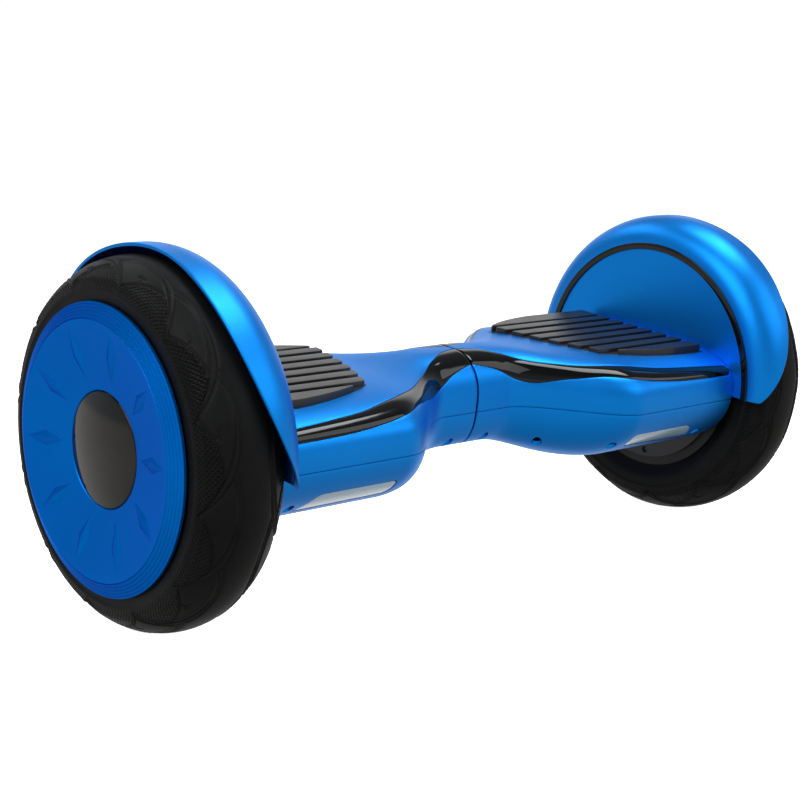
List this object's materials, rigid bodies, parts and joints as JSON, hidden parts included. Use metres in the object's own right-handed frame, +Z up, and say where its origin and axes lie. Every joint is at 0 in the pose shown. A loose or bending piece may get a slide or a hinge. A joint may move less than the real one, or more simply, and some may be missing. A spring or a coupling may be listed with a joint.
{
  "type": "self balancing hoverboard",
  "caption": "Self balancing board: two hub-motor wheels under fenders, two halves that twist on a hollow shaft, and a sprung foot pad on each half.",
  "frame": {"origin": "on the floor, midway between the two tyres and below the wheel axles", "axes": "+X along the board towards the right half, +Y to the back, +Z up; both halves lean front-down about the axles at rest"},
  "size_m": [0.6638, 0.2704, 0.272],
  "materials": {
    "battery_wrap": "shrink wrap",
    "body_blue": "satin metallic",
    "bronze": "sintered",
    "button_red": "gloss",
    "cable_black": "satin",
    "cast_aluminium": "cast",
    "circuit_board": "solder mask",
    "copper_windings": "enamelled",
    "dark_plastic": "matt",
    "gloss_black": "gloss",
    "hub_blue": "satin metallic",
    "lamp_lens": "frosted",
    "pad_rubber": "matt",
    "steel": "machined",
    "tyre_rubber": "matt"
  },
  "bodies": {
    "left_half": {"left_axle": "steel", "left_stator": "copper_windings", "left_axle_clamp": "cast_aluminium", "left_clamp_screws": "steel", "left_frame": "cast_aluminium", "left_upper_shell": "body_blue", "left_lower_shell": "body_blue", "left_shell_screws": "steel", "left_front_strip": "gloss_black", "left_rear_strip": "gloss_black", "left_headlight": "lamp_lens", "left_fender": "body_blue", "left_fender_trim": "gloss_black", "left_sensor_board": "circuit_board", "left_foot_switches": "dark_plastic", "centre_shaft": "steel", "shaft_bolt": "steel", "shaft_circlip": "steel", "neck_seal": "pad_rubber", "battery_pack": "battery_wrap", "battery_bracket": "steel", "wiring_harness": "cable_black", "button_bezel": "dark_plastic", "charge_socket": "dark_plastic", "cap_hinge_pin": "steel"},
    "right_half": {"right_axle": "steel", "right_stator": "copper_windings", "right_axle_clamp": "cast_aluminium", "right_clamp_screws": "steel", "right_frame": "cast_aluminium", "right_upper_shell": "body_blue", "right_lower_shell": "body_blue", "right_shell_screws": "steel", "right_front_strip": "gloss_black", "right_rear_strip": "gloss_black", "right_headlight": "lamp_lens", "right_fender": "body_blue", "right_fender_trim": "gloss_black", "right_sensor_board": "circuit_board", "right_foot_switches": "dark_plastic", "shaft_bushes": "bronze", "main_board": "circuit_board"},
    "left_wheel": {"left_tyre": "tyre_rubber", "left_rim": "cast_aluminium", "left_magnet_ring": "steel", "left_motor_cover": "dark_plastic", "left_wheel_bearings": "steel", "left_hub_cover": "hub_blue", "left_centre_cap": "gloss_black"},
    "right_wheel": {"right_tyre": "tyre_rubber", "right_rim": "cast_aluminium", "right_magnet_ring": "steel", "right_motor_cover": "dark_plastic", "right_wheel_bearings": "steel", "right_hub_cover": "hub_blue", "right_centre_cap": "gloss_black"},
    "left_pedal": {"left_foot_pad": "pad_rubber"},
    "right_pedal": {"right_foot_pad": "pad_rubber"},
    "button": {"power_button": "button_red"},
    "cap": {"charge_cap": "pad_rubber"}
  },
  "joints": [
    {"name": "twist", "type": "hinge", "parent": "left_half", "child": "right_half", "pos_m": [0, -0.00062, 0.13641], "axis": [1, 0, 0], "range_deg": [-12, 12]},
    {"name": "left_wheel_spin", "type": "hinge", "parent": "left_half", "child": "left_wheel", "pos_m": [-0.2895, 0, 0.132], "axis": [1, 0, 0], "continuous": true},
    {"name": "right_wheel_spin", "type": "hinge", "parent": "right_half", "child": "right_wheel", "pos_m": [0.2895, 0, 0.132], "axis": [1, 0, 0], "continuous": true},
    {"name": "left_pad_press", "type": "slide", "parent": "left_half", "child": "left_pedal", "axis": [0, 0.1392, -0.9903], "range_m": [0, 0.0015], "stiffness_N_per_m": 4000, "springref_m": -0.001},
    {"name": "right_pad_press", "type": "slide", "parent": "right_half", "child": "right_pedal", "axis": [0, 0.1392, -0.9903], "range_m": [0, 0.0015], "stiffness_N_per_m": 4000, "springref_m": -0.001},
    {"name": "button_press", "type": "slide", "parent": "left_half", "child": "button", "axis": [0, -0.9681, 0.2504], "range_m": [0, 0.001], "stiffness_N_per_m": 1500, "springref_m": -0.0003},
    {"name": "cap_hinge", "type": "hinge", "parent": "left_half", "child": "cap", "pos_m": [-0.15, 0.09659, 0.11987], "axis": [-1, 0, 0], "range_deg": [0, 110]}
  ]
}
